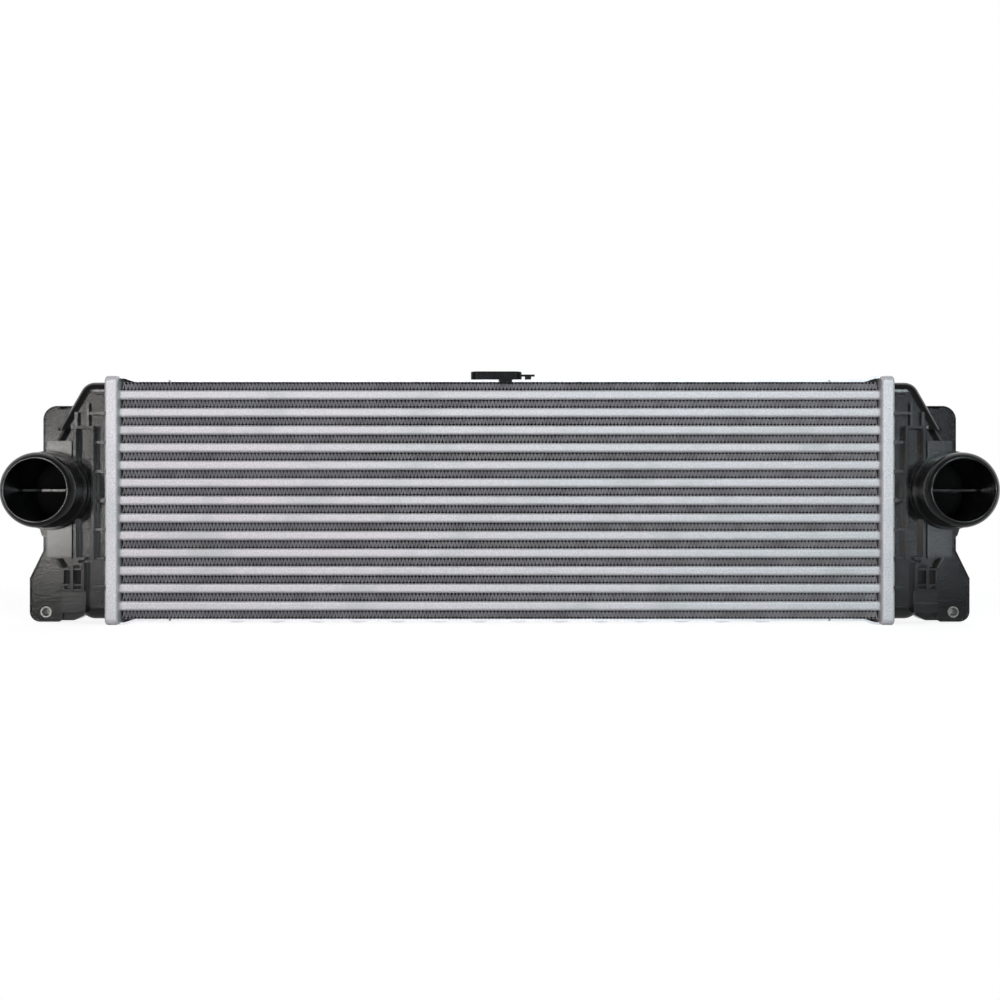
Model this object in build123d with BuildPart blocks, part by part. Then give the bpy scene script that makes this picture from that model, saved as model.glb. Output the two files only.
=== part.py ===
from build123d import *

"""A charge-air cooler (intercooler) for a van: a brazed aluminium core between two moulded end tanks.

Thirteen flat tubes carry the hot charge air from one tank to the other, past folded inner strips. Folded
fins between the tubes carry its heat to the cooling air. The tubes end in two pressed header plates,
whose edges are crimped over the feet of the tanks, on rubber gaskets.

Frame: +X to the right, +Y to the back, +Z up. The origin is at the bottom centre of the bounding box.
All sizes are in millimetres.
"""

import math
import os

os.makedirs("parts", exist_ok=True)

# Core -------------------------------------------------------------------------------------------------
core_length = 648.0  # between the two header plates
core_depth = 62.0  # front to back, the depth of a tube
tube_count = 13
tube_height = 8.0
tube_wall = 0.5
tube_corner = 2.2  # outer radius along the tube's four edges
tube_past_header = 3.0  # how far a tube's end stands into the tank

fin_height = 7.0
fin_sheet = 0.14
fin_fold_pitch = 3.05  # one whole fold, crest to crest
fin_recess = 1.0  # fins stand this far behind the tubes' edges, front and back
fin_end_gap = 1.0  # least gap from a fin's last fold to a header plate

strip_sheet = 0.3  # folded strip inside a tube
strip_width = 55.0
strip_folds = 9
strip_crest = 2.0  # flat part of each fold, brazed to the tube
strip_end_gap = 12.0  # from the strip's end to the tube's end

# Side plates, above and below the core ----------------------------------------------------------------
plate_sheet = 2.0
plate_joggle = 3.0  # how far the plate's ends step outwards
plate_ramp = 9.0  # length of that step
plate_landing = 4.0  # flat end against the header plate
bead_pitch = 34.6
bead_count = 14
bead_width = 19.0
bead_rise = 1.6
bead_from_edge = 7.0  # from the bead's end to the plate's front or back edge
notch_from_header = 43.0
notch_width = 1.8
notch_depth = 13.0

# Header plates ----------------------------------------------------------------------------------------
header_sheet = 2.0
header_width = 11.0  # along X, over the crimped lip
header_past_core = 8.0  # how far the header stands proud of the core, front and back
header_corner = 6.0
header_bend = 2.6  # outer radius of the bend beside the core
header_crimp = 2.2  # outer radius of the bend where the lip is crimped over
lip_sheet = 1.6  # crimped lip over the tank's foot
lip_width = 2.4
lip_clearance = 0.6  # between the lip and the tank's wall
slot_clearance = 0.05  # brazing gap around each tube

# Gaskets ----------------------------------------------------------------------------------------------
gasket_height = 2.6
gasket_width = 3.6
gasket_round = 0.7
foot_clearance = 0.2  # around the gasket and the tank's foot inside the header

# Tanks ------------------------------------------------------------------------------------------------
# A "reach" is a distance outwards along X from the header's outer face. A "rise" is a height up or down
# from the core's middle. A "proud" size is a distance forwards from the tank's front wall.
tank_wall = 2.5
shoulder_reach = 18.5  # where the flat top turns into the slanting wall
shoulder_round = 13.0
waist_reach = 47.0  # the tank's outermost wall
waist_top_rise = 51.5
waist_bottom_rise = -46.5
body_edge_round = 9.0

block_inner_reach = 27.0  # flat block around the root of the port
block_outer_reach = 48.0
block_top_rise = 50.5
block_bottom_rise = -49.0
block_proud = 6.0
block_depth = 34.0
block_corner = 1.2

port_reach = 45.0
port_rise = 8.6
duct_radius = 33.0  # round duct behind the port
duct_depth = 61.0
duct_round = 12.0
collar_radius = 33.6
collar_proud = 1.4
groove_radius = 31.8
groove_width = 1.3
root_radius = 33.0
root_width = 6.0
land_radius = 31.2  # where the hose or coupling seats
land_length = 25.0
nose_length = 9.0
nose_bulge = 1.3  # how far the nose rounds outwards from a plain cone
mouth_radius = 25.0  # inside radius of the mouth
mouth_wall = 2.0
mouth_round = 0.8
bore_radius = 28.4
web_thickness = 2.2  # level web across the duct
web_set_back = 8.0  # from the block's front to the web's front edge
web_inner_reach = 8.0

foot_rib_count = 7
foot_rib_pitch = 24.6
foot_rib_width = 2.4
foot_rib_reach = 8.6
foot_rib_proud = 5.6
cap_width = 3.6  # hook at a foot rib's end, over the header's edge
cap_length = 2.4
cap_proud = 6.4
cap_overlap = 1.2
cap_clearance = 0.1
ledge_rise = 91.0  # thin step in the front wall, near its top and its bottom
ledge_width = 1.4
ledge_proud = 1.2
ledge_length = 9.0

frame_rib = 2.6
frame_proud = 9.4
frame_inner_reach = 7.6
frame_outer_reach = 22.4
frame_top_rise = 61.8
frame_bottom_rise = -48.9
frame_notch_radius = 2.2
frame_notch_reach = 13.4
pad_proud = 1.0  # slightly raised panel inside the frame, level with the port
pad_top_rise = 41.0
pad_bottom_rise = -24.0
upright_reach = 13.0  # short upright above the frame, tied to the top foot rib
upright_top_rise = 83.0
upright_width = 2.2
upright_proud = 4.5
frame_tab_reach = 20.4  # small tab under the frame
frame_tab_width = 4.2
frame_tab_drop = 2.4
horn_top_rise = 75.0  # the frame's outer upright runs on to here
horn_proud = 5.0
wing_reach = 48.0  # level, three-cornered rib from the frame to the flange
wing_width = 2.4
recess_depth = 10.0  # the front wall is set back between the wing and the block

socket_inner_reach = 15.8  # socket with two windows, below the port
socket_width = 20.1
socket_top_rise = -57.0
socket_bottom_rise = -76.8
socket_floor_proud = 4.0
socket_rib_proud = 9.0
socket_rib_width = 2.5
socket_rib_tops = (-53.2, -55.1)
socket_rib_spacing = 9.3
socket_bar_proud = 7.6
socket_bar_height = 1.8
socket_bar_rises = (-58.1, -71.3, -75.9)
slit_depth = 6.0
window_depth = 9.0  # from the socket's plate to the floor of each window
window_wall = 2.5  # plastic behind the windows

step_inner_reach = 15.2  # stepped block under the socket
step_width = 20.5
step_top_rise = -76.8
step_height = 18.2
step_proud = 5.2
step_lower_height = 8.2
step_lower_proud = 6.8

rear_rib_proud = 4.2
rear_rib_width = 2.4
rear_rib_length = 24.0
rear_spine_reach = 14.6
rear_spine_rise = 88.0

# Mounting flanges, part of each tank ------------------------------------------------------------------
flange_set_back = 26.0  # from the tank's front wall to the flange's front face
flange_thickness = 4.0
flange_root_reach = 20.0
flange_top_rise = 82.0
flange_mid_reach = 60.8
flange_top_round = 12.0
clip_reach = 42.3  # pocket for a clip, under the upper flange's top edge
clip_width = 9.2
clip_height = 1.9
clip_drop = 0.8  # from the flange's top edge to the pocket
clip_depth = 11.0
clip_wall = 2.0
flange_duct_rise = -22.0  # the lower flange runs up behind the port to here
flange_duct_reach = 63.5
flange_spike_rise = -30.3
gusset_rise = -40.5  # three-cornered gusset between the block, the duct and the lower flange
gusset_proud = 5.0
flange_neck_rise = -43.5
flange_low_reach = 72.6
flange_shoulder_rise = -67.5
flange_low_round = 9.0
flange_floor_gap = 0.8  # from the flange's lowest edge to the plane the cooler stands on
flange_toe_reach = 47.1
flange_toe_rise = 7.6  # the toe's slant goes up this far
flange_toe_run = 8.5
flange_rear_ribs = ((76.0, 55.0), (54.0, 58.0), (-60.0, 64.0), (-78.0, 70.0), (-96.9, 58.0))  # rise, reach
flange_rear_rib_depth = 9.0
flange_rim_width = 1.2
flange_rim_proud = 0.8
lug_outer_reach = 47.1  # lug behind the lower flange
lug_toe_reach = 34.5
lug_heel_reach = 27.7
lug_root_reach = 20.0
lug_bottom_rise = -104.0
lug_heel_rise = -100.8
lug_root_rise = -97.0
lug_top_rise = -84.0
lug_depth = 24.0
pad_inner = 14.5  # raised pad around the bolt hole, measured from the hole
pad_outer = 7.4
pad_above = 8.4
pad_below = 6.4
pad_thick = 2.0
shelf_height = 1.8
shelf_proud = 3.4

hole_reach = 58.0
hole_rise = -96.6
boss_radius = 7.4
boss_length = 28.0
sleeve_length = 14.0
sleeve_outer_radius = 4.8
sleeve_bore_radius = 3.3
sleeve_proud = 0.3

# Holder clipped on the top plate ----------------------------------------------------------------------
holder_left = -24.7
holder_width = 43.6
holder_height = 7.2
holder_depth = 26.0
holder_corner = 6.0
holder_top_round = 0.8
holder_set_back = 0.6  # from the plate's front edge
holder_slot_width = 26.0
holder_slot_depth = 4.0
holder_slot_length = 5.0
hook_left = -0.6
hook_width = 11.0
hook_sheet = 1.2
hook_height = 2.0  # above the plate
hook_toe = 0.7  # under the plate
arm_length = 11.2
arm_sheet = 1.5
arm_width = 8.0
arm_drop = 2.0  # from the holder's top to the arm's top
arm_foot_inset = 2.8
arm_foot_width = 5.4

# Worked out from the sizes above ----------------------------------------------------------------------
tube_pitch = tube_height + fin_height
stack_height = tube_count * tube_height + (tube_count + 1) * fin_height
header_height = stack_height + 2 * (plate_sheet + plate_joggle)
header_depth = core_depth + 2 * header_past_core
mid_z = header_height / 2
core_half = core_length / 2
tube_half = core_half + header_sheet + tube_past_header
header_x = core_half + header_width  # outer face of a header

cavity_half_depth = header_depth / 2 - header_sheet
cavity_half_height = header_height / 2 - header_sheet
body_half_depth = cavity_half_depth - lip_width - lip_clearance
body_half_height = cavity_half_height - lip_width - lip_clearance

port_proud = block_proud + collar_proud + groove_width + root_width + land_length + nose_length
front_reach = body_half_depth + port_proud
back_reach = header_depth / 2
core_y = (front_reach - back_reach) / 2
core_front = core_y - core_depth / 2
header_front = core_y - header_depth / 2
body_front = core_y - body_half_depth
body_back = core_y + body_half_depth
block_front = body_front - block_proud
mouth_y = body_front - port_proud
flange_front = body_front + flange_set_back

foot_start = core_half + header_sheet + gasket_height
foot_end = header_x - lip_sheet
port_x = header_x + port_reach
port_z = mid_z + port_rise
hole_x = header_x + hole_reach
hole_z = mid_z + hole_rise
tube_rises = [tube_pitch * (n - (tube_count - 1) / 2) for n in range(tube_count)]
fin_rises = [tube_pitch * (n - tube_count / 2) for n in range(tube_count + 1)]
foot_rib_rises = [foot_rib_pitch * (n - (foot_rib_count - 1) / 2) for n in range(foot_rib_count)]


def save(piece, name):
    """Labels a finished piece and writes its STEP file."""
    piece.label = name
    export_step(piece, f"parts/{name}.step", write_pcurves=False)


def save_pair(right_piece, name):
    """Writes a piece of the right end, and its mirror image at the left end."""
    save(right_piece, f"right_{name}")
    save(mirror(right_piece, about=Plane.YZ), f"left_{name}")


def front_plane(y):
    """An upright plane across the cooler at depth y, facing the front, with the axes X and Z."""
    return Plane.XZ.offset(-y)


def end_plane(x):
    """An upright plane along the cooler's depth at x, facing +X, with the axes Y and Z."""
    return Plane.YZ.offset(x)


def front_box(x_low, x_high, z_low, z_high, y_front, y_back, corner=0, mode=Mode.ADD):
    """Adds a block to the part in progress, or cuts it: a rectangle seen from the front, extruded back."""
    with BuildSketch(front_plane(y_front)) as outline:
        with Locations(((x_low + x_high) / 2, (z_low + z_high) / 2)):
            if corner:
                RectangleRounded(x_high - x_low, z_high - z_low, corner)
            else:
                Rectangle(x_high - x_low, z_high - z_low)
    extrude(outline.sketch, amount=y_back - y_front, dir=(0, 1, 0), mode=mode)


def level_rib(reach_from, reach_to, rise, width, proud):
    """Adds a level rib to the right tank's front wall."""
    front_box(
        header_x + reach_from,
        header_x + reach_to,
        mid_z + rise - width / 2,
        mid_z + rise + width / 2,
        body_front - proud,
        body_front + tank_wall,
    )


def upright_rib(reach, width, rise_from, rise_to, proud, back=body_front + tank_wall):
    """Adds an upright rib or a block to the right tank's front wall, or to the flange behind it."""
    front_box(
        header_x + reach,
        header_x + reach + width,
        mid_z + rise_from,
        mid_z + rise_to,
        body_front - proud,
        back,
    )


# Tubes ------------------------------------------------------------------------------------------------
# Each is a flat tube, open at both ends, which runs through both header plates.
with BuildPart() as tube:
    with BuildSketch(end_plane(-tube_half)):
        with Locations((core_y, mid_z)):
            RectangleRounded(core_depth, tube_height, tube_corner)
            RectangleRounded(
                core_depth - 2 * tube_wall,
                tube_height - 2 * tube_wall,
                tube_corner - tube_wall,
                mode=Mode.SUBTRACT,
            )
    extrude(amount=2 * tube_half)

for number, rise in enumerate(tube_rises, start=1):
    save(tube.part.moved(Location((0, 0, rise))), f"tube_{number:02d}")


# Turbulator strips ------------------------------------------------------------------------------------
# A folded strip inside each tube, brazed to its two flat walls.
def strip_edge(top, bottom, top_crest, bottom_crest):
    """One edge of the strip's section: flat crests joined by slanting legs."""
    pitch = strip_width / strip_folds
    points = []
    for fold in range(strip_folds):
        start = -strip_width / 2 + fold * pitch
        for middle, level, crest in ((0.25, top, top_crest), (0.75, bottom, bottom_crest)):
            points.append((start + middle * pitch - crest / 2, level))
            points.append((start + middle * pitch + crest / 2, level))
    return points


strip_half_height = tube_height / 2 - tube_wall
strip_run = strip_width / strip_folds / 2 - strip_crest
strip_lean = math.atan2(2 * strip_half_height - strip_sheet, strip_run)
strip_mitre = strip_sheet * math.tan(strip_lean / 2)
wide_crest = strip_crest + strip_mitre
narrow_crest = strip_crest - strip_mitre
strip_upper = strip_edge(strip_half_height, strip_sheet - strip_half_height, wide_crest, narrow_crest)
strip_lower = strip_edge(strip_half_height - strip_sheet, -strip_half_height, narrow_crest, wide_crest)

with BuildPart() as turbulator:
    with BuildSketch(end_plane(strip_end_gap - tube_half)):
        with Locations((core_y, mid_z)):
            Polygon(*strip_upper, *reversed(strip_lower), align=None)
    extrude(amount=2 * (tube_half - strip_end_gap))

for number, rise in enumerate(tube_rises, start=1):
    save(turbulator.part.moved(Location((0, 0, rise))), f"turbulator_{number:02d}")


# Fins -------------------------------------------------------------------------------------------------
# A zigzag sheet whose folds touch the tubes above and below. From fold to fold, the sheet's middle line
# rises by fold_swing, and the rest of fin_height is the sheet itself, measured straight up through a fold.
half_fold = fin_fold_pitch / 2
fin_folds = int((core_length - 2 * fin_end_gap) / fin_fold_pitch)
fin_slope = fin_sheet / half_fold
fold_root = math.sqrt(fin_height**2 - (1 - fin_slope**2) * (fin_height**2 - fin_sheet**2))
fold_swing = (fin_height - fold_root) / (1 - fin_slope**2)
fold_half_sheet = (fin_height - fold_swing) / 2
fin_line = [((n - fin_folds) * half_fold, (n % 2 - 0.5) * fold_swing) for n in range(2 * fin_folds + 1)]
fin_upper = [(x, z + fold_half_sheet) for x, z in fin_line]
fin_lower = [(x, z - fold_half_sheet) for x, z in reversed(fin_line)]

with BuildPart() as fin:
    with BuildSketch(front_plane(core_front + fin_recess)):
        with Locations((0, mid_z)):
            Polygon(*fin_upper, *fin_lower, align=None)
    extrude(amount=2 * fin_recess - core_depth)

for number, rise in enumerate(fin_rises, start=1):
    save(fin.part.moved(Location((0, 0, rise))), f"fin_{number:02d}")


# Side plates ------------------------------------------------------------------------------------------
# A flat strip with pressed beads. Its ends step outwards to meet the header plates, and notches from both
# edges let it give as the core grows hot.
plate_inner = mid_z + stack_height / 2
plate_outer = plate_inner + plate_sheet
ramp_start = core_half - plate_landing - plate_ramp
ramp_end = core_half - plate_landing
plate_right = [
    (ramp_start, plate_inner),
    (ramp_end, plate_inner + plate_joggle),
    (core_half, plate_inner + plate_joggle),
    (core_half, plate_outer + plate_joggle),
    (ramp_end, plate_outer + plate_joggle),
    (ramp_start, plate_outer),
]
plate_left = [(-x, z) for x, z in reversed(plate_right)]
bead_radius = (bead_width**2 / 4 + bead_rise**2) / (2 * bead_rise)
bead_half_length = core_depth / 2 - bead_from_edge
bead_spots = [bead_pitch * (n - (bead_count - 1) / 2) for n in range(bead_count)]
notch_x = core_half - notch_from_header
notch_spots = [(x, edge) for x in (-notch_x, notch_x) for edge in (core_front, core_front + core_depth)]


def bead_ends(level, spots):
    """The back ends of a row of beads, each a flat-bottomed segment of a circle."""
    with BuildSketch(front_plane(core_y + bead_half_length)) as ends:
        for spot in spots:
            with BuildLine():
                Line((spot - bead_width / 2, level), (spot + bead_width / 2, level))
                RadiusArc((spot - bead_width / 2, level), (spot + bead_width / 2, level), bead_radius)
            make_face()
    return ends.sketch


def side_plate(spots):
    """The top side plate with its beads at the given places along X."""
    with BuildPart() as plate:
        with BuildSketch(front_plane(core_front)):
            Polygon(*plate_right, *plate_left, align=None)
        extrude(amount=-core_depth)
        for level, mode in ((plate_outer, Mode.ADD), (plate_inner, Mode.SUBTRACT)):
            extrude(bead_ends(level, spots), amount=2 * bead_half_length, dir=(0, -1, 0), mode=mode)
        with BuildSketch(Plane.XY.offset(plate_inner)):
            with Locations(*notch_spots):
                Rectangle(notch_width, 2 * notch_depth)
        extrude(amount=plate_sheet, mode=Mode.SUBTRACT)
    return plate.part


holder_right = holder_left + holder_width + arm_length
holder_middle = (holder_left + holder_right) / 2
bead_clear = (holder_right - holder_left + bead_width) / 2
top_bead_spots = [spot for spot in bead_spots if abs(spot - holder_middle) > bead_clear]
save(side_plate(top_bead_spots), "top_side_plate")
save(mirror(side_plate(bead_spots), about=Plane.XY.offset(mid_z)), "bottom_side_plate")


# Header plates ----------------------------------------------------------------------------------------
# A pressed pan with a slot for each tube, and a lip that is crimped over the tank's foot.
pan_corner = header_corner - header_sheet
lip_opening_half_depth = cavity_half_depth - lip_width
lip_opening_half_height = cavity_half_height - lip_width

with BuildPart() as header:
    with BuildSketch(end_plane(core_half)):
        with Locations((core_y, mid_z)):
            RectangleRounded(header_depth, header_height, header_corner)
    extrude(amount=header_width)
    fillet(header.faces().sort_by(Axis.X)[0].edges(), header_bend)
    fillet(header.faces().sort_by(Axis.X)[-1].edges(), header_crimp)
    with BuildSketch(end_plane(core_half + header_sheet)):
        with Locations((core_y, mid_z)):
            RectangleRounded(2 * cavity_half_depth, 2 * cavity_half_height, pan_corner)
    extrude(amount=header_width - header_sheet - lip_sheet, mode=Mode.SUBTRACT)
    with BuildSketch(end_plane(foot_end)):
        with Locations((core_y, mid_z)):
            RectangleRounded(2 * lip_opening_half_depth, 2 * lip_opening_half_height, pan_corner)
    extrude(amount=lip_sheet, mode=Mode.SUBTRACT)
    with BuildSketch(end_plane(core_half)):
        with Locations(*[(core_y, mid_z + rise) for rise in tube_rises]):
            RectangleRounded(
                core_depth + 2 * slot_clearance,
                tube_height + 2 * slot_clearance,
                tube_corner + slot_clearance,
            )
    extrude(amount=header_sheet, mode=Mode.SUBTRACT)

save_pair(header.part, "header")


# Gaskets ----------------------------------------------------------------------------------------------
# A rubber ring between the header plate and the tank's foot.
foot_half_depth = cavity_half_depth - foot_clearance
foot_half_height = cavity_half_height - foot_clearance
foot_corner = pan_corner - foot_clearance

with BuildPart() as gasket:
    with BuildSketch(end_plane(core_half + header_sheet)):
        with Locations((core_y, mid_z)):
            RectangleRounded(2 * foot_half_depth, 2 * foot_half_height, foot_corner)
            RectangleRounded(
                2 * (foot_half_depth - gasket_width),
                2 * (foot_half_height - gasket_width),
                foot_corner / 2,
                mode=Mode.SUBTRACT,
            )
    extrude(amount=gasket_height)
    fillet(gasket.faces().sort_by(Axis.X)[-1].edges(), gasket_round)

save_pair(gasket.part, "gasket")


# Tanks ------------------------------------------------------------------------------------------------
def body_half_outline(inset, waist_rise):
    """Half of the tank's outline from the front, inset all round: flat end, slanting wall, flat waist."""
    slant = math.atan2(waist_reach - shoulder_reach, body_half_height - waist_rise)
    shoulder_shift = inset * math.tan(math.pi / 4 - slant / 2)
    waist_shift = inset * math.tan(slant / 2)
    half_height = body_half_height - inset
    return [
        (foot_start, half_height),
        (header_x + shoulder_reach - shoulder_shift, half_height),
        (header_x + waist_reach - inset, waist_rise - waist_shift),
    ]


def body_solid(inset, set_back=0):
    """The tank's body, or with an inset its hollow, set back at the front. All but its foot is rounded."""
    half_depth = body_half_depth - inset
    upper = body_half_outline(inset, waist_top_rise)
    lower = body_half_outline(inset, -waist_bottom_rise)
    with BuildPart() as body:
        with BuildSketch(front_plane(core_y + half_depth)) as outline:
            Polygon(
                *[(x, mid_z + z) for x, z in upper],
                *[(x, mid_z - z) for x, z in reversed(lower)],
                align=None,
            )
            fillet(outline.vertices().group_by(Axis.X)[1], shoulder_round - inset)
        extrude(amount=2 * half_depth - set_back)
        rims = body.faces().filter_by(Axis.Y).edges()
        foot_rims = rims.group_by(Axis.X)[0]
        fillet([rim for rim in rims if rim not in foot_rims], body_edge_round - inset)
    return body.part


def recessed_body(inset):
    """The tank's body, or with an inset its hollow, with the recess in its front between block and wing."""
    with BuildPart() as recess:
        front_box(
            header_x + frame_outer_reach + frame_rib - inset,
            header_x + flange_mid_reach,
            mid_z + block_top_rise - inset,
            mid_z + frame_top_rise - wing_width / 2 + inset,
            body_front - recess_depth,
            body_front + recess_depth + body_edge_round,
        )
        add(body_solid(inset, recess_depth), mode=Mode.SUBTRACT)
    return body_solid(inset) - recess.part


def reach_points(outline):
    """Turns (reach, rise) pairs into points in the front view."""
    return [(header_x + reach, mid_z + rise) for reach, rise in outline]


def add_flange(outline, corner, corner_round):
    """Adds a flange plate with a raised rim to the tank in progress, with one rounded corner."""
    with BuildSketch(front_plane(flange_front)) as plate_face:
        Polygon(*reach_points(outline), align=None)
        fillet(plate_face.vertices().sort_by_distance(reach_points([corner])[0])[0], corner_round)
    with BuildSketch(front_plane(flange_front)) as rim_face:
        add(plate_face.sketch_local)
        offset(amount=-flange_rim_width, mode=Mode.SUBTRACT)
    extrude(plate_face.sketch, amount=flange_thickness, dir=(0, 1, 0))
    extrude(rim_face.sketch, amount=flange_rim_proud, dir=(0, -1, 0))


def add_slab(outline, y_front, y_back):
    """Adds a slab of that outline, in reach and rise, to the tank in progress."""
    with BuildSketch(front_plane(y_front)) as face:
        Polygon(*reach_points(outline), align=None)
    extrude(face.sketch, amount=y_back - y_front, dir=(0, 1, 0))


def duct_end(radius, corner_round, back):
    """The duct's closed end in section, drawn from its wall round to the axis."""
    corner = corner_round * math.sqrt(0.5)
    centre_radius = radius - corner_round
    centre_y = back - corner_round
    ThreePointArc(
        (radius, centre_y),
        (centre_radius + corner, centre_y + corner),
        (centre_radius, back),
    )
    Line((centre_radius, back), (0, back))


port_axis = Axis((port_x, 0, port_z), (0, 1, 0))
port_plane = Plane(origin=(port_x, 0, port_z), x_dir=(1, 0, 0), z_dir=(0, 0, 1))
nose_radius = mouth_radius + mouth_wall
nose_end = mouth_y + nose_length
land_end = nose_end + land_length
root_end = land_end + root_width
groove_end = root_end + groove_width
duct_back = block_front + duct_depth
duct_inner_radius = duct_radius - tank_wall
flange_floor = flange_floor_gap - header_height / 2
upper_flange_outline = [
    (flange_root_reach, port_rise),
    (flange_mid_reach, port_rise),
    (flange_mid_reach, flange_top_rise),
    (flange_root_reach, flange_top_rise),
]
lower_flange_outline = [
    (flange_root_reach, flange_duct_rise),
    (flange_duct_reach, flange_duct_rise),
    (flange_mid_reach, flange_spike_rise),
    (flange_mid_reach, flange_neck_rise),
    (flange_low_reach, flange_shoulder_rise),
    (flange_low_reach, flange_floor),
    (flange_toe_reach, flange_floor),
    (flange_toe_reach - flange_toe_run, flange_floor + flange_toe_rise),
    (flange_root_reach, flange_floor + flange_toe_rise),
]
gusset_outline = [
    (block_outer_reach, gusset_rise),
    (flange_mid_reach, flange_spike_rise),
    (flange_duct_reach, flange_duct_rise),
    (block_outer_reach, flange_duct_rise),
]
lug_outline = [
    (lug_root_reach, lug_top_rise),
    (lug_root_reach, lug_root_rise),
    (lug_heel_reach, lug_heel_rise),
    (lug_toe_reach, lug_bottom_rise),
    (lug_outer_reach, lug_bottom_rise),
    (lug_outer_reach, lug_top_rise),
]

# The space inside: the body's hollow, the duct's and the port's bore, less the level web across them.
with BuildPart() as hollow:
    add(recessed_body(tank_wall))
    with BuildSketch(port_plane) as bore_section:
        with BuildLine():
            Polyline(
                (0, mouth_y),
                (mouth_radius, mouth_y),
                (bore_radius, nose_end),
                (bore_radius, block_front),
                (duct_inner_radius, block_front + tank_wall),
                (duct_inner_radius, duct_back - duct_round),
            )
            duct_end(duct_inner_radius, duct_round - tank_wall, duct_back - tank_wall)
            Line((0, duct_back - tank_wall), (0, mouth_y))
        make_face()
    revolve(axis=port_axis)
    front_box(
        header_x + web_inner_reach,
        port_x + duct_radius,
        port_z - web_thickness / 2,
        port_z + web_thickness / 2,
        block_front + web_set_back,
        body_back,
        mode=Mode.SUBTRACT,
    )
    # The front wall is thicker behind the socket's windows.
    front_box(
        header_x + socket_inner_reach - window_wall,
        header_x + waist_reach,
        mid_z + socket_bottom_rise,
        mid_z + socket_top_rise,
        body_front,
        body_front - socket_floor_proud + window_depth + window_wall,
        mode=Mode.SUBTRACT,
    )

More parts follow.
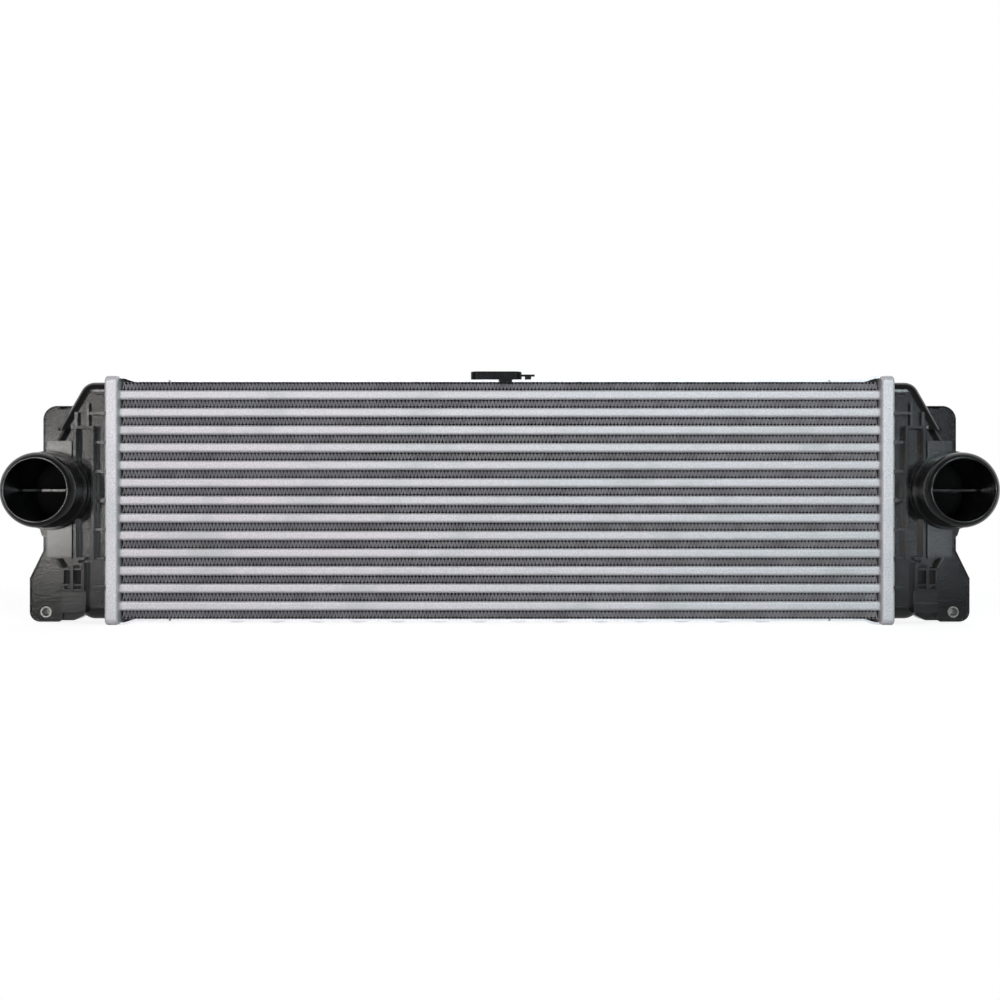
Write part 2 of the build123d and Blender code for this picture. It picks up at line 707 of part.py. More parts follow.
with BuildPart() as tank:
    add(recessed_body(0))
    # The foot is held in the header plate by the crimped lip.
    with BuildSketch(end_plane(foot_start)):
        with Locations((core_y, mid_z)):
            RectangleRounded(2 * foot_half_depth, 2 * foot_half_height, foot_corner)
    extrude(amount=foot_end - foot_start)

    # Block round the root of the port.
    front_box(
        header_x + block_inner_reach,
        header_x + block_outer_reach,
        mid_z + block_bottom_rise,
        mid_z + block_top_rise,
        block_front,
        block_front + block_depth,
        corner=block_corner,
    )

    # Port and duct, turned about one axis: nose, land, root ring, groove, collar and duct.
    with BuildSketch(port_plane):
        with BuildLine():
            Line((0, mouth_y), (nose_radius, mouth_y))
            ThreePointArc(
                (nose_radius, mouth_y),
                ((nose_radius + land_radius) / 2 + nose_bulge, (mouth_y + nose_end) / 2),
                (land_radius, nose_end),
            )
            Polyline(
                (land_radius, nose_end),
                (land_radius, land_end),
                (root_radius, land_end),
                (root_radius, root_end),
                (groove_radius, root_end),
                (groove_radius, groove_end),
                (collar_radius, groove_end),
                (collar_radius, block_front),
                (duct_radius, block_front),
                (duct_radius, duct_back - duct_round),
            )
            duct_end(duct_radius, duct_round, duct_back)
            Line((0, duct_back), (0, mouth_y))
        make_face()
    revolve(axis=port_axis)

    # Mounting flanges, above and below the port, with ribs behind them.
    add_flange(upper_flange_outline, (flange_mid_reach, flange_top_rise), flange_top_round)
    add_flange(lower_flange_outline, (flange_low_reach, flange_floor), flange_low_round)
    add_slab(gusset_outline, flange_front - gusset_proud, flange_front)
    add_slab(lug_outline, flange_front, flange_front + lug_depth)
    for rise, reach in flange_rear_ribs:
        front_box(
            header_x + flange_root_reach,
            header_x + reach,
            mid_z + rise - rear_rib_width / 2,
            mid_z + rise + rear_rib_width / 2,
            flange_front + flange_thickness,
            flange_front + flange_thickness + flange_rear_rib_depth,
        )

    # Pocket for a clip, in a boss behind the upper flange.
    clip_left = header_x + clip_reach - clip_width / 2
    clip_right = header_x + clip_reach + clip_width / 2
    clip_top = mid_z + flange_top_rise - clip_drop
    clip_low = clip_top - clip_height
    front_box(
        clip_left - clip_wall,
        clip_right + clip_wall,
        clip_low - clip_wall,
        clip_top + clip_drop,
        flange_front,
        flange_front + clip_depth + clip_wall,
    )
    front_box(
        clip_left,
        clip_right,
        clip_low,
        clip_top,
        flange_front - flange_rim_proud,
        flange_front + clip_depth,
        mode=Mode.SUBTRACT,
    )

    # Pad, shelf and boss round the bolt hole.
    front_box(
        hole_x - pad_inner,
        hole_x + pad_outer,
        hole_z - pad_below,
        hole_z + pad_above,
        flange_front - pad_thick,
        flange_front,
    )
    front_box(
        hole_x - pad_inner,
        hole_x + pad_outer,
        hole_z + pad_above,
        hole_z + pad_above + shelf_height,
        flange_front - shelf_proud,
        flange_front,
    )
    with BuildSketch(front_plane(flange_front - pad_thick)):
        with Locations((hole_x, hole_z)):
            Circle(boss_radius)
    extrude(amount=-boss_length)

    # Ribs that hold the foot against the header, each hooked over the header's edge.
    for rise in foot_rib_rises:
        level_rib(0, foot_rib_reach, rise, foot_rib_width, foot_rib_proud)
        level_rib(0, cap_length, rise, cap_width, cap_proud)
        front_box(
            header_x - cap_overlap,
            header_x,
            mid_z + rise - cap_width / 2,
            mid_z + rise + cap_width / 2,
            body_front - cap_proud,
            header_front - cap_clearance,
        )
    for rise in (-ledge_rise, ledge_rise):
        level_rib(0, ledge_length, rise, ledge_width, ledge_proud)

    # Rectangular frame of ribs beside the port, with its notch and tab below and its uprights above.
    frame_right_reach = frame_outer_reach + frame_rib
    frame_low = frame_bottom_rise - frame_rib / 2
    frame_high = frame_top_rise + frame_rib / 2
    for reach in (frame_inner_reach, frame_outer_reach):
        upright_rib(reach, frame_rib, frame_low, frame_high, frame_proud)
    for rise in (frame_bottom_rise, frame_top_rise):
        level_rib(frame_inner_reach, frame_right_reach, rise, frame_rib, frame_proud)
    with BuildSketch(front_plane(body_front - frame_proud)):
        with Locations((header_x + frame_notch_reach, mid_z + frame_low)):
            Circle(frame_notch_radius)
    extrude(amount=-frame_proud, mode=Mode.SUBTRACT)
    upright_rib(frame_tab_reach, frame_tab_width, frame_low - frame_tab_drop, frame_low, frame_proud)
    upright_rib(
        frame_inner_reach + frame_rib,
        frame_outer_reach - frame_inner_reach - frame_rib,
        pad_bottom_rise,
        pad_top_rise,
        pad_proud,
    )
    upright_rib(frame_outer_reach, frame_rib, frame_high, horn_top_rise, horn_proud)
    upright_rib(upright_reach, upright_width, frame_high, upright_top_rise, upright_proud)
    level_rib(foot_rib_reach, upright_reach, foot_rib_rises[-1], foot_rib_width, upright_proud)

    # Wing: a level, three-cornered rib from the frame over the slanting wall to the flange.
    with BuildSketch(Plane.XY.offset(mid_z + frame_top_rise - wing_width / 2)):
        Polygon(
            (header_x + frame_outer_reach, body_front - frame_proud),
            (header_x + frame_right_reach, body_front - frame_proud),
            (header_x + wing_reach, flange_front),
            (header_x + frame_outer_reach, flange_front),
            align=None,
        )
    extrude(amount=wing_width)

    # Socket: two uprights and three bars on a plate, with a deep window and a slit beside each upright.
    socket_outer_reach = socket_inner_reach + socket_width
    upright_rib(
        socket_inner_reach, socket_width, socket_bottom_rise, socket_top_rise, socket_floor_proud, flange_front
    )
    for rise in socket_bar_rises:
        level_rib(socket_inner_reach, socket_outer_reach, rise, socket_bar_height, socket_bar_proud)
    for place, top_rise in enumerate(socket_rib_tops):
        reach = socket_inner_reach + place * socket_rib_spacing
        upright_rib(reach, socket_rib_width, socket_bottom_rise, top_rise, socket_rib_proud)
        next_reach = min(reach + socket_rib_spacing, socket_outer_reach)
        for upper_bar, lower_bar, depth in ((0, 1, window_depth), (1, 2, slit_depth)):
            front_box(
                header_x + reach + socket_rib_width,
                header_x + next_reach,
                mid_z + socket_bar_rises[lower_bar] + socket_bar_height / 2,
                mid_z + socket_bar_rises[upper_bar] - socket_bar_height / 2,
                body_front - socket_floor_proud,
                body_front - socket_floor_proud + depth,
                mode=Mode.SUBTRACT,
            )

    # Stepped block below the socket.
    step_bottom_rise = step_top_rise - step_height
    step_middle_rise = step_bottom_rise + step_lower_height
    upright_rib(step_inner_reach, step_width, step_bottom_rise, step_top_rise, step_proud, flange_front)
    upright_rib(step_inner_reach, step_width, step_bottom_rise, step_middle_rise, step_lower_proud)

    # Ribs on the back wall.
    for rise in foot_rib_rises:
        front_box(
            header_x,
            header_x + rear_rib_length,
            mid_z + rise - rear_rib_width / 2,
            mid_z + rise + rear_rib_width / 2,
            body_back,
            body_back + rear_rib_proud,
        )
    front_box(
        header_x + rear_spine_reach,
        header_x + rear_spine_reach + rear_rib_width,
        mid_z - rear_spine_rise,
        mid_z + rear_spine_rise,
        body_back,
        body_back + rear_rib_proud,
    )

    add(hollow.part, mode=Mode.SUBTRACT)
    mouth_edges = tank.edges().filter_by(GeomType.CIRCLE).group_by(Axis.Y)[0]
    fillet(mouth_edges, mouth_round)
    # Bolt hole, wider at the front for the sleeve.
    with BuildSketch(front_plane(flange_front - pad_thick)):
        with Locations((hole_x, hole_z)):
            Circle(sleeve_bore_radius)
    extrude(amount=-boss_length, mode=Mode.SUBTRACT)
    with BuildSketch(front_plane(flange_front - pad_thick)):
        with Locations((hole_x, hole_z)):
            Circle(sleeve_outer_radius)
    extrude(amount=-sleeve_length, mode=Mode.SUBTRACT)

save_pair(tank.part, "tank")


# Sleeves ----------------------------------------------------------------------------------------------
# A steel sleeve in each bolt hole takes the bolt's load.
with BuildPart() as sleeve:
    with BuildSketch(front_plane(flange_front - pad_thick + sleeve_length)):
        with Locations((hole_x, hole_z)):
            Circle(sleeve_outer_radius)
            Circle(sleeve_bore_radius, mode=Mode.SUBTRACT)
    extrude(amount=sleeve_length + sleeve_proud)

save_pair(sleeve.part, "sleeve")


# Holder -----------------------------------------------------------------------------------------------
# A moulded block that grips the top plate's front edge. It has a slot in its top and a T-shaped arm.
holder_front = core_front + holder_set_back
holder_top = plate_outer + holder_height
holder_mid_y = holder_front + holder_depth / 2
arm_left = holder_left + holder_width
arm_top = holder_top - arm_drop

with BuildPart() as holder:
    with BuildSketch(Plane.XY.offset(plate_outer)):
        with Locations((holder_left + holder_width / 2, holder_mid_y)):
            RectangleRounded(holder_width, holder_depth, holder_corner)
    extrude(amount=holder_height)
    fillet(holder.faces().sort_by(Axis.Z)[-1].edges(), holder_top_round)
    with BuildSketch(Plane.XY.offset(holder_top)):
        with Locations((holder_left + holder_width / 2, holder_mid_y)):
            SlotOverall(holder_slot_width, holder_slot_length)
    extrude(amount=-holder_slot_depth, mode=Mode.SUBTRACT)
    # Hook over the plate's front edge.
    front_box(
        hook_left,
        hook_left + hook_width,
        plate_outer,
        plate_outer + hook_height,
        core_front - hook_sheet,
        holder_front + hook_sheet,
    )
    front_box(
        hook_left,
        hook_left + hook_width,
        plate_inner - hook_toe,
        plate_outer,
        core_front - hook_sheet,
        core_front,
    )
    front_box(
        hook_left,
        hook_left + hook_width,
        plate_inner - hook_toe,
        plate_inner,
        core_front,
        core_front + hook_toe,
    )
    # Arm and its foot.
    for x_low, x_high, z_low in (
        (arm_left - arm_sheet, arm_left + arm_length, arm_top - arm_sheet),
        (arm_left + arm_foot_inset, arm_left + arm_foot_inset + arm_foot_width, plate_outer),
    ):
        front_box(x_low, x_high, z_low, arm_top, holder_mid_y - arm_width / 2, holder_mid_y + arm_width / 2)

save(holder.part, "holder")
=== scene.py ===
"""An intercooler: a brazed aluminium core between two black moulded tanks, dressed over its CAD frame.

Every length is in metres. +X runs along the tubes, -Y is the side that the ports face, and +Z is up.
"""

import math

import bpy
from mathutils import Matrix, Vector


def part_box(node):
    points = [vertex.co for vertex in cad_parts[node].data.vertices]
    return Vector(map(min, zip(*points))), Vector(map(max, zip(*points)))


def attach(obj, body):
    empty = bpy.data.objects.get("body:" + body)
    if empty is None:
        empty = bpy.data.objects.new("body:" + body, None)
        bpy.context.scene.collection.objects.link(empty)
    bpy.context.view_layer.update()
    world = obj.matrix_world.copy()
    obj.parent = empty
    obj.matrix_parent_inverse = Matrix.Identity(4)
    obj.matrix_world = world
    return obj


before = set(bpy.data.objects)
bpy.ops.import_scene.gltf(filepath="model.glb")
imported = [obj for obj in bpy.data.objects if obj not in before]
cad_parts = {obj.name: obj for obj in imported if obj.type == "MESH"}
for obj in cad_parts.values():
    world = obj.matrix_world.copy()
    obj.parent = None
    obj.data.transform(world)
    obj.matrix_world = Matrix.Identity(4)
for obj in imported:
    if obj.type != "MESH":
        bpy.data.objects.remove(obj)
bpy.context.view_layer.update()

mm = 0.001


# ---------------------------------------------------------------------------------------------------
# Tubes: thirteen flat tubes, extruded in aluminium and brazed to the fins in a furnace. The flux leaves
# a dry, pale, finely pitted bloom on them, with greyer stains here and there, over fine lines from the
# die. Between the fins, where no light gets to, they are painted darker, as painted shade.
# ---------------------------------------------------------------------------------------------------


class Strand:
    """A shader socket that can stand in a Python sum, each operator adding the Math node that does it."""

    def __init__(self, finish, socket):
        self.finish = finish
        self.socket = socket

    def __add__(self, other):
        return self.finish.math("ADD", self, other)

    def __sub__(self, other):
        return self.finish.math("SUBTRACT", self, other)

    def __rsub__(self, other):
        return self.finish.math("SUBTRACT", other, self)

    def __mul__(self, other):
        return self.finish.math("MULTIPLY", self, other)

    def __pow__(self, other):
        return self.finish.math("POWER", self, other)

    def __abs__(self):
        return self.finish.math("ABSOLUTE", self, 0)

    __radd__ = __add__
    __rmul__ = __mul__


class Finish:
    """A material being mixed: its Principled shader and whatever feeds it."""

    def __init__(self, name, constants=()):
        self.material = bpy.data.materials.new(name)
        self.material.use_nodes = True
        self.tree = self.material.node_tree
        self.shader = self.tree.nodes["Principled BSDF"]
        for socket, constant in dict(constants).items():
            self.shader.inputs[socket].default_value = constant
        self.place = self.node("TexCoord", give="Object")

    def node(self, kind, settings=(), sockets=(), give=0):
        """Adds a node of that kind: its settings first, then what its sockets are fed."""
        made = self.tree.nodes.new("ShaderNode" + kind)
        for setting, choice in dict(settings).items():
            setattr(made, setting, choice)
        for socket, fed in dict(sockets).items():
            self.feed(made.inputs[socket], fed)
        return Strand(self, made.outputs[give])

    def feed(self, socket, fed):
        """Links a strand to a socket, or sets the socket to a plain value."""
        if isinstance(fed, Strand):
            self.tree.links.new(fed.socket, socket)
        else:
            socket.default_value = fed

    def math(self, operation, first, second):
        """A Math node over two strands or plain numbers."""
        return self.node("Math", {"operation": operation}, {0: first, 1: second})

    def tint(self, share, first, second):
        """The first colour where share is 0 and the second where it is 1."""
        sockets = {0: share, 6: first, 7: second}  # a Mix node's colours go in at 6 and 7 and out at 2
        return self.node("Mix", {"data_type": "RGBA"}, sockets, give=2)

    def stretched(self, scale):
        """Object coordinates, stretched by a scale for each axis."""
        return self.node("VectorMath", {"operation": "MULTIPLY"}, {0: self.place, 1: scale})

    def part(self, axis, vector=None):
        """One part of a vector, X, Y or Z. The vector is the point's own place if none is given."""
        return self.node("SeparateXYZ", {}, {0: vector or self.place}, give=axis)

    def clouds(self, scale, detail=2.0, place=None):
        """Soft noise between 0 and 1, with features about 1 / scale metres across."""
        sockets = {"Vector": place or self.place, "Scale": scale, "Detail": detail}
        return self.node("TexNoise", {}, sockets)

    def band(self, strand, low, high):
        """Smoothly 0 below low and 1 above high."""
        sockets = {"Value": strand, "From Min": low, "From Max": high}
        return self.node("MapRange", {"interpolation_type": "SMOOTHSTEP"}, sockets)

    def between(self, strand, least, most):
        """Carries a strand from the range 0 to 1 over to the range least to most."""
        return strand * (most - least) + least

    def blend(self, first, second, share):
        """Two strands added up, with that share of the second."""
        return first * (1 - share) + second * share

    def inward(self, low, high):
        """How deep a point lies behind the nearer of the front and back of a box."""
        return (high.y - low.y) / 2 - abs(self.part("Y") - (low.y + high.y) / 2)

    def surface(self, colour, roughness, height, depth, normal=None):
        """Feeds the shader its colour and roughness, and a bump of that height over that depth."""
        self.feed(self.shader.inputs["Base Color"], colour)
        self.feed(self.shader.inputs["Roughness"], roughness)
        sockets = {"Height": height, "Distance": depth}
        if normal is not None:
            sockets["Normal"] = normal
        self.feed(self.shader.inputs["Normal"], self.node("Bump", {}, sockets))
        return self.material


def dress(names, material):
    """Gives a finish to the CAD nodes of those names."""
    for name in names:
        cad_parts[name].material_slots[0].material = material


tube_names = [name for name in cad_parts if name.startswith("tube_")]
tube_low, tube_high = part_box(tube_names[0])
tube_shade_start = 4 * mm  # the painted shade starts this far in
tube_shade_full = 8 * mm  # and is at its darkest from here on
tube_bump = 0.05 * mm

tube_pink = (0.75, 0.695, 0.73, 1)
tube_blue = (0.68, 0.69, 0.715, 1)
tube_bloom = (0.80, 0.775, 0.79, 1)
tube_stain = (0.56, 0.57, 0.565, 1)
tube_pit = (0.46, 0.46, 0.465, 1)
# The last colour is painted shade, for the tubes where they run between the fins.
tube_painted_shade = (0.13, 0.13, 0.135, 1)
bloom_share = 0.6
stain_share = 0.8
pit_share = 0.75

tube_finish = Finish("brazed_tube", {"Metallic": 0.3})
tube_drift = tube_finish.band(tube_finish.clouds(scale=5.0), low=0.35, high=0.65)
tube_patch = tube_finish.clouds(scale=70.0, detail=4.0, place=tube_finish.stretched((0.5, 1, 1)))
tube_lines = tube_finish.clouds(scale=900.0, place=tube_finish.stretched((0.02, 1, 1)))
tube_bloomed = tube_finish.band(tube_patch, low=0.4, high=0.75)
tube_stained = tube_finish.band(tube_finish.clouds(scale=22.0, detail=3.0), low=0.5, high=0.72)
tube_pitted = tube_finish.band(tube_finish.clouds(scale=1000.0), low=0.3, high=0.7)
# Painted shade: the tubes darken with depth behind their front and back.
tube_shade_share = tube_finish.band(tube_finish.inward(tube_low, tube_high), tube_shade_start, tube_shade_full)
tube_colour = tube_finish.tint(tube_drift, tube_pink, tube_blue)
for share, laid_over in (
    (tube_bloomed * bloom_share, tube_bloom),
    (tube_stained * stain_share, tube_stain),
    (tube_pitted * pit_share, tube_pit),
    (tube_shade_share, tube_painted_shade),
):
    tube_colour = tube_finish.tint(share, tube_colour, laid_over)
tube_material = tube_finish.surface(
    tube_colour,
    tube_finish.between(tube_patch, least=0.42, most=0.58),
    tube_finish.blend(tube_lines, tube_patch, share=0.4),
    tube_bump,
)
dress(tube_names, tube_material)


# ---------------------------------------------------------------------------------------------------
# Turbulators: a folded strip inside each tube, rolled from thin aluminium and brazed in with it, so
# that it keeps the bright surface of the rolling mill.
# ---------------------------------------------------------------------------------------------------

turbulator_names = [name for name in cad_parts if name.startswith("turbulator_")]
turbulator_bump = 0.02 * mm

turbulator_colour = (0.60, 0.60, 0.62, 1)
turbulator_stain = (0.46, 0.45, 0.46, 1)

turbulator_finish = Finish("rolled_turbulator", {"Metallic": 0.9})
turbulator_patch = turbulator_finish.clouds(scale=220.0, detail=3.0)
turbulator_material = turbulator_finish.surface(
    turbulator_finish.tint(turbulator_patch, turbulator_colour, turbulator_stain),
    turbulator_finish.between(turbulator_patch, least=0.3, most=0.5),
    turbulator_patch,
    turbulator_bump,
)
dress(turbulator_names, turbulator_material)


# ---------------------------------------------------------------------------------------------------
# Fins: a thin strip, folded zigzag and brazed between neighbouring tubes. Louvres are pierced in every
# wall of it: they lean one way in the front half and the other way behind the wider turn in the middle.
# The braze leaves a small bar along each fold. Behind their front edges the fins are painted dark, as
# painted shade.
# ---------------------------------------------------------------------------------------------------

fin_names = sorted(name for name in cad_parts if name.startswith("fin_"))
fin_low, fin_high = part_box(fin_names[0])
fin_height = fin_high.z - fin_low.z
fin_depth = fin_high.y - fin_low.y
fin_mid_y = (fin_low.y + fin_high.y) / 2
fin_mid_z = (fin_low.z + fin_high.z) / 2
fold_count = 211
wall_pitch = (fin_high.x - fin_low.x) / (2 * fold_count)
wall_slope = math.atan2(wall_pitch, fin_height)
first_wall_x = fin_low.x + wall_pitch / 2

louvres_each_end = 4
louvre_lean = math.radians(38)
louvre_chord = 2.2 * mm
louvre_pitch = 2.3 * mm
louvre_sheet = 0.16 * mm
louvre_inset = 1.5 * mm
louvre_length = 0.6 * fin_height
turn_chord = 0.98 * wall_pitch / math.sin(louvre_lean)
turn_length = 0.96 * fin_height
braze_width = 1.3 * mm
braze_height = 0.9 * mm


def deselect():
    """Leaves nothing for the next operator to act on by mistake."""
    bpy.ops.object.select_all(action="DESELECT")


def finished(piece):
    """Puts a piece's place into its mesh, so that its object sits at the origin."""
    deselect()
    piece.select_set(True)
    bpy.context.view_layer.objects.active = piece
    bpy.ops.object.transform_apply(location=True, rotation=True, scale=True)
    return piece


def repeated(piece, count, step):
    """Repeats a piece in a row with an Array modifier, and applies it."""
    bpy.context.view_layer.objects.active = piece
    array = piece.modifiers.new("row", "ARRAY")
    array.count = count
    array.use_relative_offset = False
    array.use_constant_offset = True
    array.constant_offset_displace = step
    bpy.ops.object.modifier_apply(modifier=array.name)
    return piece


def joined(pieces, name):
    """Joins pieces into one object of that name."""
    deselect()
    for piece in pieces:
        piece.select_set(True)
    bpy.context.view_layer.objects.active = pieces[0]
    bpy.ops.object.join()
    pieces[0].name = name
    return pieces[0]


def bar(width, height, length, turn, place):
    """A three-sided bar along Z, width across its flat back and height to its edge, turned and placed."""
    deselect()
    radius = height / 1.5  # a triangle stands one and a half times as high as its circle's radius
    bpy.ops.mesh.primitive_cylinder_add(vertices=3, radius=radius, depth=length, end_fill_type="NGON")
    bpy.ops.object.mode_set(mode="EDIT")
    bpy.ops.mesh.select_all(action="SELECT")
    bpy.ops.transform.resize(value=(width / (radius * math.sqrt(3)), 1, 1))
    bpy.ops.transform.translate(value=(0, -radius / 4, 0))
    bpy.ops.object.mode_set(mode="OBJECT")
    piece = bpy.context.object
    piece.rotation_euler = turn
    piece.location = place
    return finished(piece)


def louvre(x, y, slope, lean):
    """A louvre in the wall at x, turned by lean and tipped sideways with the slope of the wall."""
    return bar(louvre_sheet, louvre_chord, louvre_length, (0, slope, lean), (x, y, fin_mid_z))


def wall_louvres(x, slope):
    """The louvres of one wall of a fin."""
    front = louvre(x, fin_low.y + louvre_inset, slope, louvre_lean)
    back = louvre(x, fin_high.y - louvre_inset, slope, -louvre_lean)
    return [
        repeated(front, louvres_each_end, (0, louvre_pitch, 0)),
        repeated(back, louvres_each_end, (0, -louvre_pitch, 0)),
        bar(louvre_sheet, turn_chord, turn_length, (0, 0, louvre_lean), (x, fin_mid_y, fin_mid_z)),
    ]


def braze(x, z, turn):
    """The braze where a fold meets a tube: a bar along the fold, with its edge into the fin."""
    return bar(braze_width, braze_height, fin_depth, (turn, 0, 0), (x, fin_mid_y, z))


# The fins are painted darker, as painted shade, from the first depth behind their front and back to the
# second.
fin_shade_start = 2 * mm
fin_shade_full = 4 * mm
fin_bump = 0.03 * mm

fin_colour = (0.46, 0.45, 0.465, 1)
fin_stain = (0.36, 0.345, 0.36, 1)
fin_painted_shade = (0.02, 0.02, 0.021, 1)

fin_finish = Finish("folded_fin", {"Metallic": 0.1, "Specular IOR Level": 0.3})
fin_patch = fin_finish.clouds(scale=60.0, detail=4.0)
fin_stained = fin_finish.band(fin_patch, low=0.35, high=0.7)
# Painted shade: the fins go near-black with depth behind their front and back.
fin_shade_share = fin_finish.band(fin_finish.inward(fin_low, fin_high), fin_shade_start, fin_shade_full)
fin_material = fin_finish.surface(
    fin_finish.tint(fin_shade_share, fin_finish.tint(fin_stained, fin_colour, fin_stain), fin_painted_shade),
    fin_finish.between(fin_patch, least=0.34, most=0.54),
    fin_finish.clouds(scale=900.0),
    fin_bump,
)
dress(fin_names, fin_material)

rising_walls = joined(wall_louvres(first_wall_x, wall_slope), "rising_walls")
falling_walls = joined(wall_louvres(first_wall_x + wall_pitch, -wall_slope), "falling_walls")
crest = braze(first_wall_x + wall_pitch / 2, fin_high.z - braze_height / 2, -math.pi / 2)
foot = braze(first_wall_x + wall_pitch * 3 / 2, fin_low.z + braze_height / 2, math.pi / 2)
louvre_row = joined([rising_walls, falling_walls, crest, foot], "louvres_01")
repeated(louvre_row, fold_count, (2 * wall_pitch, 0, 0))
louvre_row.data.materials.append(fin_material)
louvre_rows = [louvre_row]
for number, name in enumerate(fin_names[1:], 2):
    row = louvre_row.copy()
    row.data = louvre_row.data.copy()
    row.name = f"louvres_{number:02d}"
    bpy.context.collection.objects.link(row)
    row.location.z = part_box(name)[0].z - fin_low.z
    louvre_rows.append(finished(row))
for row in louvre_rows:
    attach(row, "root")


# ---------------------------------------------------------------------------------------------------
# Side plates: the two pressed sheets that close the core at its top and bottom, with ribs across them
# and stepped ends. They go through the brazing furnace with the rest, and come out as pale.
# ---------------------------------------------------------------------------------------------------

plate_bump = 0.05 * mm

plate_colour = (0.78, 0.775, 0.80, 1)
plate_bloom = (0.88, 0.875, 0.89, 1)

plate_finish = Finish("pressed_plate", {"Metallic": 0.6})
plate_patch = plate_finish.clouds(scale=45.0, detail=4.0)
plate_bloomed = plate_finish.band(plate_patch, low=0.4, high=0.7)
plate_grain = plate_finish.clouds(scale=1200.0, place=plate_finish.stretched((0.04, 1, 1)))
plate_material = plate_finish.surface(
    plate_finish.tint(plate_bloomed, plate_colour, plate_bloom),
    plate_finish.between(plate_patch, least=0.4, most=0.58),
    plate_finish.blend(plate_grain, plate_patch, share=0.5),
    plate_bump,
)
dress(["top_side_plate", "bottom_side_plate"], plate_material)


# ---------------------------------------------------------------------------------------------------
# Header plates: deep-drawn aluminium pans that the tube ends are brazed into. Their rims are crimped
# over the foot of each tank. The drawing leaves a cloudy skin, and the furnace pits it finely.
# ---------------------------------------------------------------------------------------------------

header_bump = 0.06 * mm

header_colour = (0.78, 0.76, 0.78, 1)
header_cloud = (0.71, 0.71, 0.73, 1)
header_pit = (0.46, 0.46, 0.47, 1)
header_pit_share = 0.6

header_finish = Finish("drawn_header", {"Metallic": 0.3})
header_patch = header_finish.clouds(scale=38.0, detail=5.0)
header_clouded = header_finish.band(header_patch, low=0.4, high=0.7)
header_pitted = header_finish.band(header_finish.clouds(scale=700.0), low=0.3, high=0.7)
header_draw = header_finish.clouds(scale=700.0, detail=3.0, place=header_finish.stretched((1, 1, 0.08)))
header_material = header_finish.surface(
    header_finish.tint(
        header_pitted * header_pit_share,
        header_finish.tint(header_clouded, header_colour, header_cloud),
        header_pit,
    ),
    header_finish.between(header_patch, least=0.4, most=0.6),
    header_finish.blend(header_draw, header_patch, share=0.5),
    header_bump,
)
dress(["left_header", "right_header"], header_material)


# ---------------------------------------------------------------------------------------------------
# Gaskets: rings of black rubber, squeezed between each header plate and the foot of its tank. They are
# moulded, and a little dust sticks to them.
# ---------------------------------------------------------------------------------------------------

rubber_bump = 0.05 * mm

rubber_colour = (0.022, 0.022, 0.023, 1)
rubber_dust = (0.05, 0.05, 0.05, 1)

rubber_finish = Finish("gasket_rubber")
rubber_patch = rubber_finish.clouds(scale=300.0, detail=3.0)
rubber_material = rubber_finish.surface(
    rubber_finish.tint(rubber_patch, rubber_colour, rubber_dust),
    rubber_finish.between(rubber_patch, least=0.7, most=0.85),
    rubber_patch,
    rubber_bump,
)
dress(["left_gasket", "right_gasket"], rubber_material)


# ---------------------------------------------------------------------------------------------------
# Tanks: injection mouldings in black glass-filled nylon, one at each end, with the port, ribs and
# flange in one piece. The tool's spark-eroded skin leaves a fine grain, and the fibres pale streaks.
# It is glossier on the block and the ribs that stand proud, and matt inside the duct,
# where its colour is painted darker as painted shade.
# ---------------------------------------------------------------------------------------------------

tank_bump = 0.07 * mm
tank_rounding = 0.7 * mm
mould_edge = 0.5 * mm  # one skin turns into the next over this width

port_x = 380 * mm
port_z = 114.6 * mm
bore_radius = 28.5 * mm
bore_end_y = -9 * mm  # the duct is matt, and painted darker as painted shade, from here on
web_half = 1.3 * mm  # the web across it keeps the gloss and the lighter colour, as does the tank's back, behind it

barrel_y = -19.3 * mm  # the polish starts behind the port's barrel
proud_y = -17.5 * mm  # and fades from here
wall_y = -13 * mm  # to the tank's front wall
block_end_z = 59 * mm
polish_below_block = 0.3  # the share of it that is left below the block
polish_swing = 0.6  # what the flow and the mottle each add to it at most
least_polish = 0.1

skin_roughness = 0.05
flow_roughness = 0.12  # what the flow, the mottle and the inside of the duct add to it at most
mottle_roughness = 0.14
inside_roughness = 0.65

tank_black = (0.006, 0.006, 0.0062, 1)
tank_streak = (0.011, 0.0107, 0.0105, 1)
tank_painted_duct_shade = (0.004, 0.004, 0.004, 1)


def from_axis(finish, x, z):
    """How far a point lies from the axis along Y at x and z, or from its mirror image at -x."""
    off_x = abs(finish.part("X")) - x
    off_z = finish.part("Z") - z
    return (off_x * off_x + off_z * off_z) ** 0.5


def past(strand, limit):
    """0 up to the limit, and 1 from a mould edge past it."""
    return strand.finish.band(strand, limit, limit + mould_edge)


def rounded(finish, radius):
    """The normals of edges that the mould has rounded to that radius."""
    return finish.node("Bevel", {"samples": 4}, {"Radius": radius})


tank_finish = Finish("tank_nylon", {"Specular IOR Level": 0.5, "Coat Roughness": 0.2})
tank_y = tank_finish.part("Y")
tank_z = tank_finish.part("Z")
tank_flow = tank_finish.clouds(scale=26.0, detail=4.0, place=tank_finish.stretched((1, 1, 0.5)))
tank_streaked = tank_finish.band(tank_flow, low=0.35, high=0.75)
tank_mottle = tank_finish.clouds(scale=420.0, detail=4.0)

tank_facing = tank_finish.part("Y", tank_finish.node("TexCoord", give="Normal"))
tank_bored = 1 - past(from_axis(tank_finish, port_x, port_z), bore_radius)
tank_off_web = past(abs(tank_z - port_z), web_half)
tank_not_back = 1 - tank_finish.band(tank_facing, low=0.5, high=0.6)
tank_within = tank_bored * tank_off_web * past(tank_y, bore_end_y) * tank_not_back

tank_proud = past(tank_y, barrel_y - mould_edge) * (1 - tank_finish.band(tank_y, proud_y, wall_y))
tank_above = past(tank_z, block_end_z - mould_edge)
tank_sheen = tank_flow * polish_swing + tank_mottle * polish_swing + least_polish
tank_polish = tank_finish.between(tank_above, least=polish_below_block, most=1) * tank_sheen
tank_finish.feed(tank_finish.shader.inputs["Coat Weight"], tank_proud * tank_polish)

